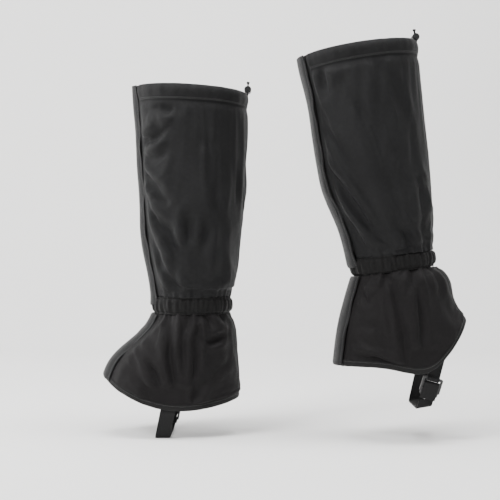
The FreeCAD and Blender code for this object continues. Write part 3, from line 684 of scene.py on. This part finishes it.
# What differs between the calf and the foot, in metres and in parts of the way along the cloth.
CLOTH = {
    "calf": dict(
        frames=calf_frames, rows=CALF_ROWS, valleys=CALF_VALLEYS, valley_width=0.0068, valley_depth=0.0078,
        hem=(0.885, 0.935), seed=1.3, gather_fade=0.06, swell=(0.0016, 0.02, 0.08), upper_swell=0.0006,
        limits=(-0.0042, 0.0070), sewn_to=0.03, hold=0.10, form=0.0052, growth=0.02, frame_count=24,
        inward=0.0056, outward=0.0080),
    "foot": dict(
        frames=foot_frames, rows=FOOT_ROWS, valleys=FOOT_VALLEYS, valley_width=0.0050, valley_depth=0.0058,
        hem=(0.90, 0.97), seed=2.6, gather_fade=0.10, swell=(0.0022, 0.03, 0.12), upper_swell=0.0,
        limits=(-0.0030, 0.0062), sewn_to=0.05, hold=0.15, form=0.0040, growth=0.018, frame_count=18,
        inward=0.0042, outward=0.0070),
}


def cloth_surface(side, part):
    """The CAD surface of the calf or foot, and the same grid with its folds."""
    cut = CLOTH[part]
    tree = solid_tree(f"{side}_{part}_outer_panel", f"{side}_{part}_inner_panel")
    base = Skin(tree, cut["frames"](side), COLUMNS, cut["rows"]).points
    along = rows_along(base)
    normal = normals_of(base)
    front = front_zone(base, side, 0.026, 0.010)
    hem = smooth(along, *cut["hem"])
    field = fold_field(base, cut["valleys"][side], cut["valley_width"], cut["valley_depth"])
    field += 0.0014 * gathers(COLUMNS, cut["seed"])[:, None] * np.exp(-along / cut["gather_fade"])
    swell, start, end = cut["swell"]
    field += swell * smooth(along, start, end) + cut["upper_swell"] * smooth(along, 0.6, 0.88)
    field = np.clip(field, *cut["limits"]) * (1 - hem) * (1 - 0.85 * front)
    folded = base + normal * field[..., None]
    free = np.full_like(along, cut["hold"])
    hold = np.maximum.reduce([1 - smooth(along, 0.0, cut["sewn_to"]), hem, 0.97 * front, free])
    form = base - normal * cut["form"]
    loose = simulate(f"{side}_{part}_cloth", folded, hold, form, cut["growth"], cut["frame_count"])
    shaped = capped(base, 0.5 * folded + 0.5 * loose, cut["inward"], cut["outward"])
    still = [hem, 0.9 * front] + ([strap_zone(base, side)] if part == "foot" else [])
    keep = np.maximum.reduce(still)[..., None]
    return base, base * keep + shaped * (1 - keep)


def make_panel(side, part, half, points, columns, material):
    node = f"{side}_{part}_{half}_panel"
    picked = slit_columns(points, columns, side)
    thing = link(f"{node}_cloth", tube_mesh(f"{node}_cloth", points, picked), material)
    thicken(thing, CLOTH_THICKNESS)
    stand_in(thing, node)
    return thing


SURFACES = {}
for side in SIDES:
    SURFACES[side, "calf"] = cloth_surface(side, "calf")
    SURFACES[side, "foot"] = cloth_surface(side, "foot")
    for half, columns in halves(side).items():
        panel = make_panel(side, "calf", half, SURFACES[side, "calf"][1], columns, CALF_CLOTH)
        blend_ankle(panel)
        panel = make_panel(side, "foot", half, SURFACES[side, "foot"][1], columns, FOOT_CLOTH)
        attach(panel, f"{side}_foot")


# ---- strips: band, hem channel, flaps, binding -----------------------------------------------------------

def strip_mesh(name, grid):
    """A mesh from a grid of points (across, along, 3), with UVs in metres."""
    columns, rows = grid.shape[:2]
    pairs = [(c, c + 1) for c in range(columns - 1)]
    faces = [(a * rows + r, b * rows + r, b * rows + r + 1, a * rows + r + 1)
             for a, b in pairs for r in range(rows - 1)]
    mesh = mesh_from(name, grid.reshape(-1, 3), faces)
    across = np.r_[0, np.cumsum(np.linalg.norm(np.diff(grid[:, rows // 2], axis=0), axis=1))]
    along = np.r_[0, np.cumsum(np.linalg.norm(np.diff(grid[columns // 2], axis=0), axis=1))]
    cloth = mesh.uv_layers.new(name="Cloth")
    for loop in mesh.loops:
        column, row = divmod(loop.vertex_index, rows)
        cloth.data[loop.index].uv = (across[column], along[row])
    return mesh


def face_outward(thing, centre):
    """Turn the faces round if most of them look towards the middle."""
    mesh = thing.data
    score = sum((p.center - centre).dot(p.normal) * p.area for p in mesh.polygons)
    if score < 0:
        mesh.flip_normals()


def stitches(name, points, normals, body, pitch=0.0032, length=0.0021, radius=0.00024):
    """One mesh of short thread stitches laid along a line on the cloth."""
    points = np.asarray(points)
    normals = np.asarray(normals)
    walked = np.r_[0, np.cumsum(np.linalg.norm(np.diff(points, axis=0), axis=1))]
    vertices, faces = [], []
    for start in np.arange(pitch / 2, walked[-1] - length, pitch):
        ends = []
        for t in np.linspace(0, 1, 5):
            s = start + t * length
            spot = np.array([np.interp(s, walked, points[:, k]) for k in range(3)])
            up = np.array([np.interp(s, walked, normals[:, k]) for k in range(3)])
            ends.append((spot, up / np.linalg.norm(up)))
        ahead = ends[-1][0] - ends[0][0]
        ahead /= max(np.linalg.norm(ahead), 1e-9)
        base = len(vertices)
        for k, (spot, up) in enumerate(ends):
            sideways = np.cross(ahead, up)
            swell = (0.35, 0.9, 1.0, 0.9, 0.35)[k]
            lift = radius * (0.2, 0.7, 0.9, 0.7, 0.2)[k]
            for corner in range(6):
                turn = corner * math.pi / 3
                outward = math.cos(turn) * sideways + math.sin(turn) * up
                vertices.append(spot + up * lift + radius * swell * outward)
        for k in range(4):
            for corner in range(6):
                a, b = base + 6 * k + corner, base + 6 * k + (corner + 1) % 6
                faces.append((a, b, b + 6, a + 6))
        faces.append(tuple(base + c for c in reversed(range(6))))
        faces.append(tuple(base + 24 + c for c in range(6)))
    thing = link(name, mesh_from(name, vertices, faces), THREAD)
    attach(thing, body)
    return thing


def band_frames(side):
    low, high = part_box(f"{side}_ankle_band")
    centre = (low + high) / 2
    axis = UP if side == "right" else leg_line(side)[1]
    rearward = ACROSS.cross(axis)

    def frame_at(turn, t):
        return centre + axis * (0.05 * t - 0.025), rearward * math.cos(turn) + ACROSS * math.sin(turn)
    return frame_at


def add_band(side):
    """The gathered casing over the ankle elastic: two stitched edges and uneven pleats between."""
    columns, rows = 432, 25
    points = Skin(solid_tree(f"{side}_ankle_band"), band_frames(side), columns, rows).points
    normal = normals_of(points)
    along = rows_along(points)
    pinch = np.exp(-((along - 0.10) / 0.05) ** 2) + np.exp(-((along - 0.90) / 0.05) ** 2)
    middle = np.sin(math.pi * np.clip((along - 0.10) / 0.80, 0, 1)) ** 0.6
    low, high = gathers(columns, 0.7, 31, 53)[:, None], gathers(columns, 3.9, 29, 47)[:, None]
    pleat = low * (1 - along) + high * along
    out = 0.0012 * middle + 0.0013 * pleat * (0.35 + 0.65 * middle) - 0.0009 * pinch
    grid = points + normal * out[..., None]
    thing = link(f"{side}_ankle_band_cloth", tube_mesh(f"{side}_ankle_band_cloth", grid), BAND_CLOTH)
    thicken(thing, 0.0008)
    stand_in(thing, f"{side}_ankle_band")
    blend_ankle(thing)
    inner = points[::3] - normal[::3] * 0.0017 + normal[::3] * 0.0004 * low[::3, :, None]
    knit = f"{side}_ankle_elastic_knit"
    elastic = link(knit, tube_mesh(knit, inner[:, 4:-4]), ELASTIC)
    thicken(elastic, 0.0007, levels=0)
    stand_in(elastic, f"{side}_ankle_elastic")
    blend_ankle(elastic)


def front_gap(points, side, half):
    """The columns of a tube, in order round the leg, that leave a gap at the front."""
    middle = middle_of(side)
    at = points[:, -1]
    front = at[:, 0] < at[:, 0].mean()
    keep = [not (front[c] and abs(at[c, 1] - middle) < half) for c in range(len(at))]
    starts = [c for c in range(len(at)) if keep[c] and not keep[c - 1]]
    start = starts[0] if starts else len(at) // 2
    return [(start + i) % len(at) for i in range(len(at)) if keep[(start + i) % len(at)]]


def sweep_edge(points, normal, order, profile, ripple=None):
    """Carry a profile of (out, along from the last row) round the chosen columns of a tube."""
    grid = np.zeros((len(order), len(profile), 3))
    lengths = np.linalg.norm(np.diff(points, axis=1), axis=2)
    for i, c in enumerate(order):
        walked = np.r_[0, np.cumsum(lengths[c])]
        total = walked[-1]
        for k, (out, along) in enumerate(profile):
            s = total + min(along, 0)
            spot = np.array([np.interp(s, walked, points[c, :, a]) for a in range(3)])
            up = np.array([np.interp(s, walked, normal[c, :, a]) for a in range(3)])
            if along > 0:
                ahead = points[c, -1] - points[c, -2]
                spot = spot + ahead / np.linalg.norm(ahead) * along
            lift = out + (ripple[i, k] if ripple is not None else 0)
            grid[i, k] = spot + up * lift
    return grid


CHANNEL_PROFILE = [(x * MM, y * MM) for x, y in (
    (0.7, -20.0), (0.9, -19.2), (0.75, -18.4), (1.0, -17.4), (1.6, -15.5), (2.2, -13.0), (2.7, -10.5),
    (2.9, -8.0), (2.7, -5.5), (2.1, -3.0), (1.4, -1.2), (0.8, -0.2), (0.2, 0.4), (-0.6, 0.5), (-1.4, -0.2),
    (-1.9, -2.0), (-2.1, -6.0), (-2.1, -12.0), (-1.9, -18.0))]
PUCKER = (0.25, 0.25, 0.15, 0.5, 0.9, 1, 1, 0.9, 0.9, 0.9, 0.7, 0.5, 0.3, 0.2, 0.1, 0, 0, 0, 0)


def add_channel(side):
    """The drawcord tunnel: the top edge turned over outward and sewn down, puckered round the cord."""
    base = SURFACES[side, "calf"][0]
    normal = normals_of(base)
    order = front_gap(base, side, 0.0275)
    columns = len(base)
    ripple = gathers(columns, 5.1, 17, 37)[order][:, None]
    shape = np.array(PUCKER)[None]
    grid = sweep_edge(base, normal, order, CHANNEL_PROFILE, 0.00055 * ripple * shape)
    thing = link(f"{side}_top_hem_cloth", strip_mesh(f"{side}_top_hem_cloth", grid), CALF_CLOTH)
    face_outward(thing, Vector(base.mean(axis=(0, 1))))
    thicken(thing, 0.0005)
    stand_in(thing, f"{side}_top_hem_channel", f"{side}_calf")
    for number, along in enumerate((-18.4, -16.9)):
        line = sweep_edge(base, normal, order, [((0.85, 1.25)[number] * MM, along * MM)])[:, 0]
        stitches(f"{side}_top_hem_stitches_{number + 1}", line, normal[order, -1], f"{side}_calf")


BINDING_PROFILE = [(x * MM, y * MM) for x, y in (
    (0.35, -8.0), (0.75, -7.7), (0.85, -7.0), (0.8, -6.2), (0.88, -5.0), (0.9, -3.0), (0.88, -1.2),
    (0.75, -0.1), (0.3, 0.5), (-0.4, 0.6), (-1.1, 0.4), (-1.4, -0.3), (-1.5, -2.0), (-1.5, -4.5),
    (-1.4, -6.5))]


def add_binding(side):
    """Ribbed tape folded over the lower hem, with one row of stitches."""
    base = SURFACES[side, "foot"][0]
    normal = normals_of(base)
    order = front_gap(base, side, 0.0016)
    ripple = 0.00018 * gathers(len(base), 4.4, 19, 41)[order][:, None] * np.ones((1, len(BINDING_PROFILE)))
    grid = sweep_edge(base, normal, order, BINDING_PROFILE, ripple)
    thing = link(f"{side}_hem_tape", strip_mesh(f"{side}_hem_tape", grid), BINDING)
    face_outward(thing, Vector(base.mean(axis=(0, 1))))
    thicken(thing, 0.0004)
    stand_in(thing, f"{side}_hem_binding", f"{side}_foot")
    line = sweep_edge(base, normal, order, [(0.83 * MM, -6.2 * MM)])[:, 0]
    stitches(f"{side}_hem_stitches", line, normal[order, -1], f"{side}_foot", pitch=0.0028, length=0.0018)


def flap_grid(side, part, frames, columns, rows):
    """The outer face of a front flap: one column for each distance from the middle."""
    tree = solid_tree(f"{side}_{part}_flap")
    reach = 0.0256

    def frame_at(shift, t):
        origin, direction = frames(math.pi, t)
        return origin + ACROSS * shift, direction
    sampler = Skin.__new__(Skin)
    shifts = np.linspace(-reach, reach, columns)
    return np.stack([sampler.profile(tree, frame_at, shift, rows) for shift in shifts]), shifts / reach


def add_flap(side, part, frames, rows, material, seed):
    """A folded-edge flap with a row of stitches down each edge, lying in soft waves."""
    columns = 27
    grid, across = flap_grid(side, part, frames, columns, rows)
    around = np.gradient(grid, axis=0)
    along = np.gradient(grid, axis=1)
    normal = np.cross(around, along)
    normal /= np.linalg.norm(normal, axis=2, keepdims=True).clip(1e-9)
    if (normal[..., 0]).mean() > 0:
        normal = -normal
    v = np.linspace(0, 1, rows)[None]
    u = across[:, None]
    length = np.linalg.norm(np.diff(grid[columns // 2], axis=0), axis=1).sum()
    wave = (0.0009 * np.sin(2 * math.pi * (v * length / 0.085 + 0.22 * u) + seed) * (0.4 + 0.6 * u ** 2)
            + 0.0006 * np.sin(2 * math.pi * (v * length / 0.037 - 0.35 * u) + 2.3 * seed) * u ** 2)
    hinge = JOINTS[f"{side}_{part}_flap_open"]["pos_m"][1]
    sewn = u if (grid[0, 0, 1] < grid[-1, 0, 1]) == (hinge > middle_of(side)) else -u
    tuck = -0.0011 * smooth(np.abs(u), 0.72, 1.0) - 0.0020 * smooth(sewn, 0.55, 0.98)
    seam = -0.00035 * np.exp(-((np.abs(u) - 0.90) / 0.025) ** 2)
    lift = wave + tuck + seam + 0.0004
    shaped = grid + normal * lift[..., None]
    thing = link(f"{side}_{part}_flap_cloth", strip_mesh(f"{side}_{part}_flap_cloth", shaped), material)
    face_outward(thing, Vector(centre_of(f"{side}_{part}_flap")) + Vector((0.08, 0, 0)))
    thicken(thing, 0.0011)
    stand_in(thing, f"{side}_{part}_flap", f"{side}_{part}_flap")
    for number, column in enumerate((1, columns - 2)):
        line = shaped[column] + normal[column] * 0.0001
        stitches(f"{side}_{part}_flap_stitches_{number + 1}", line, normal[column], f"{side}_{part}_flap")
    return thing


for side in SIDES:
    add_band(side)
    add_channel(side)
    add_binding(side)
    flap = add_flap(side, "calf", calf_frames(side), 150, FLAP_PAINTED_HIGHLIGHT_CLOTH, 1.1)
    flap = add_flap(side, "foot", foot_frames(side), 60, FLAP_PAINTED_HIGHLIGHT_CLOTH, 2.7)


# ---- seams on the panels ---------------------------------------------------------------------------------

def seam_line(side, part, across, facing, low=0.0, high=1.0):
    """Points and normals down a panel, a fixed part of the way from front to rear."""
    points = SURFACES[side, part][1]
    normal = normals_of(points)
    columns, rows = points.shape[:2]
    column = int(round(np.clip(position(across, 0, columns, rows, facing)[0], 0, columns - 1)))
    picked = slice(int(low * (rows - 1)), int(high * (rows - 1)) + 1)
    return points[column, picked], normal[column, picked]


def rear_seam(side, part):
    """The lapped strip that joins the two halves down the rear."""
    points = SURFACES[side, part][1]
    normal = normals_of(points)
    columns = [-2, -1, 0, 1]
    lift = np.array([0.0001, 0.0006, 0.0006, 0.0001])[:, None, None]
    name = f"{side}_{part}_rear_seam"
    material = CALF_CLOTH if part == "calf" else FOOT_CLOTH
    strip = link(name, strip_mesh(name, points[columns] + normal[columns] * lift), material)
    face_outward(strip, Vector(points.mean(axis=(0, 1))))
    thicken(strip, CLOTH_THICKNESS)
    return strip


for side in SIDES:
    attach(rear_seam(side, "foot"), f"{side}_foot")
    blend_ankle(rear_seam(side, "calf"))
    for part, low, high in (("calf", 0.17, 0.93), ("foot", 0.06, 0.90)):
        for facing in (-1, 1):
            line, normal = seam_line(side, part, 0.995, facing, low, high)
            edge = "right" if facing > 0 else "left"
            stitches(f"{side}_{part}_rear_seam_{edge}", line, normal, f"{side}_{part}")


# ---- webbing ---------------------------------------------------------------------------------------------

def dressed_copy(node, name, material, across, along, bevel=0.0003):
    """A copy of a CAD piece with softened edges and cloth coordinates, standing in for it."""
    source = frame["nodes"][node].data
    mesh = source.copy()
    mesh.materials.clear()
    work = bmesh.new()
    work.from_mesh(mesh)
    bmesh.ops.remove_doubles(work, verts=work.verts, dist=1e-6)
    bmesh.ops.dissolve_limit(work, angle_limit=math.radians(1), verts=work.verts, edges=work.edges)
    work.to_mesh(mesh)
    work.free()
    thing = link(name, mesh, material)
    soften = thing.modifiers.new("Bevel", "BEVEL")
    soften.width = bevel
    soften.segments = 2
    soften.angle_limit = math.radians(50)
    soften.limit_method = "ANGLE"
    apply_modifiers(thing)
    mesh = thing.data
    while mesh.uv_layers:
        mesh.uv_layers.remove(mesh.uv_layers[0])
    cloth = mesh.uv_layers.new(name="Cloth")
    across = Vector(across).normalized()
    for loop in mesh.loops:
        spot = mesh.vertices[loop.vertex_index].co
        rest = spot - across * spot.dot(across)
        cloth.data[loop.index].uv = (spot.dot(across), rest.dot(Vector(along)))
    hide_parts(node)
    return thing


WEBBING_PIECES = (("instep_strap", "strap", WEBBING, "webbing"), ("buckle_tab", "strap", WEBBING, "webbing"),
                  ("strap_end", "buckle", WEBBING, "webbing"), ("lace_hook_tab", "foot", WEBBING, "webbing"))
for side in SIDES:
    lean = math.radians(12 if side == "right" else 15)
    for node, body, material, slot in WEBBING_PIECES:
        across = (0, 1, 0) if node == "lace_hook_tab" else (math.cos(lean), 0, -math.sin(lean))
        piece = dressed_copy(f"{side}_{node}", f"{side}_{node}_webbing", material, across, (0.3, 1, 1))
        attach(piece, f"{side}_{body}")


# ---- drawcord and knot -----------------------------------------------------------------------------------

def tube_along(name, line, radius, material, braid=0.00012, sides=12):
    """A braided tube along a line of points: two sets of strands crossing at a slant."""
    line = np.asarray(line, dtype=float)
    walked = np.r_[0, np.cumsum(np.linalg.norm(np.diff(line, axis=0), axis=1))]
    steps = max(int(walked[-1] / 0.0005), 8)
    even = np.linspace(0, walked[-1], steps)
    path = np.stack([np.interp(even, walked, line[:, k]) for k in range(3)], axis=1)
    for _ in range(3):
        path[1:-1] = (path[:-2] + 2 * path[1:-1] + path[2:]) / 4
    ahead = np.gradient(path, axis=0)
    ahead /= np.linalg.norm(ahead, axis=1, keepdims=True).clip(1e-9)
    side_ways = np.zeros_like(path)
    side_ways[0] = np.cross(ahead[0], (0.3, 0.5, 0.81))
    side_ways[0] /= np.linalg.norm(side_ways[0])
    for i in range(1, steps):
        v = side_ways[i - 1] - ahead[i] * (side_ways[i - 1] @ ahead[i])
        side_ways[i] = v / np.linalg.norm(v).clip(1e-9)
    lift = np.cross(ahead, side_ways)
    turn = np.arange(sides) / sides * 2 * math.pi
    weave = np.sin(4 * turn[None] + even[:, None] / 0.0007) * np.sin(4 * turn[None] - even[:, None] / 0.0007)
    reach = radius - braid + braid * weave
    grid = (path[:, None] + reach[..., None] * (np.cos(turn)[None, :, None] * side_ways[:, None]
                                                + np.sin(turn)[None, :, None] * lift[:, None]))
    vertices = grid.reshape(-1, 3)
    pairs = [(k, (k + 1) % sides) for k in range(sides)]
    faces = [(i * sides + a, i * sides + b, (i + 1) * sides + b, (i + 1) * sides + a)
             for i in range(steps - 1) for a, b in pairs]
    faces += [tuple(range(sides))[::-1], tuple((steps - 1) * sides + k for k in range(sides))]
    mesh = mesh_from(name, vertices, faces)
    cloth = mesh.uv_layers.new(name="Cloth")
    for loop in mesh.loops:
        i, k = divmod(loop.vertex_index, sides)
        cloth.data[loop.index].uv = (k * 0.0005, even[i])
    return link(name, mesh, material)


def joined(name, things):
    """One object from several, keeping the first one's material."""
    work = bmesh.new()
    for thing in things:
        work.from_mesh(thing.data)
    mesh = bpy.data.meshes.new(name)
    work.to_mesh(mesh)
    work.free()
    mesh.shade_smooth()
    made = link(name, mesh, things[0].data.materials[0])
    for thing in things:
        old = thing.data
        bpy.data.objects.remove(thing)
        bpy.data.meshes.remove(old)
    return made


def add_drawcord(side):
    """Two braided lengths in the tunnel that come out at the rear and are knotted above the lock."""
    base = SURFACES[side, "calf"][0]
    normal = normals_of(base)
    order = front_gap(base, side, 0.0285)
    line = sweep_edge(base, normal, order, [(1.7 * MM, -8.0 * MM)])[:, 0]
    knot = centre_of(f"{side}_drawcord_knot")
    lock = centre_of(f"{side}_cord_lock_barrel")
    out = (knot - lock)
    out -= ACROSS * out.y
    out.normalize()
    strands = []
    for sign in (-1, 1):
        half = line[: len(line) // 2] if (line[0, 1] - knot.y) * sign > 0 else line[::-1][: len(line) // 2]
        near = half[np.abs(half[:, 1] - knot.y) > 0.0045]
        top = Vector((knot.x, knot.y + sign * 0.0018, knot.z))
        run = [tuple(top - out * below) for below in (0.0205, 0.016, 0.010, 0.005, 0.0008)]
        strands.append(tube_along(f"{side}_strand", np.vstack([near, run]), 0.00098, CORD))
    cord = joined(f"{side}_drawcord_braid", strands)
    stand_in(cord, f"{side}_drawcord", f"{side}_calf")
    turn = np.linspace(0, 2 * math.pi, 90)
    double = 2 * turn
    trefoil = np.stack([np.sin(turn) + 2 * np.sin(double), np.cos(turn) - 2 * np.cos(double),
                        -np.sin(3 * turn)], 1)
    spots = [tuple(knot + ACROSS.cross(out) * (0.00052 * x) + out * (0.00052 * y) + ACROSS * (0.0011 * z))
             for x, y, z in trefoil]
    tie = tube_along(f"{side}_drawcord_tie", spots, 0.0009, CORD)
    stand_in(tie, f"{side}_drawcord_knot", f"{side}_calf")


for side in SIDES:
    add_drawcord(side)


# ---- pieces that keep their CAD shape --------------------------------------------------------------------

def finish_node(node, material, bevel=None):
    thing = frame["nodes"][node]
    for slot in thing.material_slots:
        slot.material = material
    if bevel:
        soften = thing.modifiers.new("Bevel", "BEVEL")
        soften.width = bevel
        soften.segments = 3
        soften.limit_method = "ANGLE"
        soften.angle_limit = math.radians(40)
        soften.harden_normals = True


for side in SIDES:
    for node, material, bevel in (
            ("calf_hook_tape", HOOK_TAPE, None), ("calf_loop_tape", LOOP_TAPE, None),
            ("foot_hook_tape", HOOK_TAPE, None), ("foot_loop_tape", LOOP_TAPE, None),
            ("drawcord_eyelets", STEEL, 0.00015), ("cord_lock_barrel", PLASTIC, 0.0005),
            ("cord_lock_button", PLASTIC, 0.0004),
            ("ladder_buckle", PLASTIC, 0.0003), ("lace_hook", STEEL, 0.0002)):
        finish_node(f"{side}_{node}", material, bevel)


def add_spring(side):
    """The spring behind the button, fixed to the cord lock's body."""
    node = f"{side}_cord_lock_spring"
    spring = link(f"{node}_wire", frame["nodes"][node].data.copy())
    spring.data.materials.clear()
    spring.data.materials.append(STEEL)
    spring.data.shade_smooth()
    stand_in(spring, node, f"{side}_cord_lock")
    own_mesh(spring)


for side in SIDES:
    add_spring(side)


# ---- the floor and the light -----------------------------------------------------------------------------

def add_floor():
    """A pale floor that curves up into a backdrop behind the object."""
    depth, height, radius, width, steps = 1.6, 1.8, 0.5, 3.2, 16
    level = CAD_LOW[2]
    line = [(-2.2, level)]
    for i in range(steps + 1):
        turn = math.pi / 2 * i / steps
        line.append((depth - radius + radius * math.sin(turn), level + radius - radius * math.cos(turn)))
    line.append((depth, height))
    middle = (CAD_LOW[0] + CAD_HIGH[0]) / 2
    vertices = [(middle + x, y, z) for y, z in line for x in (-width, width)]
    faces = [(2 * i, 2 * i + 1, 2 * i + 3, 2 * i + 2) for i in range(len(line) - 1)]
    link("floor", mesh_from("floor", vertices, faces), STAGE)


def add_light(name, place, target, size, power, colour=(1, 1, 1)):
    lamp = bpy.data.lights.new(name, "AREA")
    lamp.shape = "RECTANGLE"
    lamp.size, lamp.size_y = size
    lamp.energy = power
    lamp.color = colour
    thing = bpy.data.objects.new(name, lamp)
    thing.location = place
    thing.rotation_euler = (Vector(target) - Vector(place)).to_track_quat("-Z", "Y").to_euler()
    bpy.context.scene.collection.objects.link(thing)


def add_world(strength):
    world = bpy.data.worlds.new("studio")
    world.use_nodes = True
    background = world.node_tree.nodes["Background"]
    background.inputs["Color"].default_value = (1, 1, 1, 1)
    background.inputs["Strength"].default_value = strength
    bpy.context.scene.world = world


TARGET = (0.15, -0.02, 0.24)
add_floor()
add_world(0.45)
add_light("key", (-1.1, -1.1, 1.8), TARGET, (0.8, 0.8), 50)
add_light("top", (0.25, -0.35, 2.1), TARGET, (1.6, 1.0), 44)
add_light("rim", (-1.7, 0.45, 0.7), TARGET, (0.5, 1.4), 26)
add_light("fill", (1.6, -1.0, 0.8), TARGET, (1.0, 1.4), 4)
add_light("backdrop", (0.15, -0.2, 2.6), (0.15, 1.5, 0.6), (2.4, 0.6), 40)
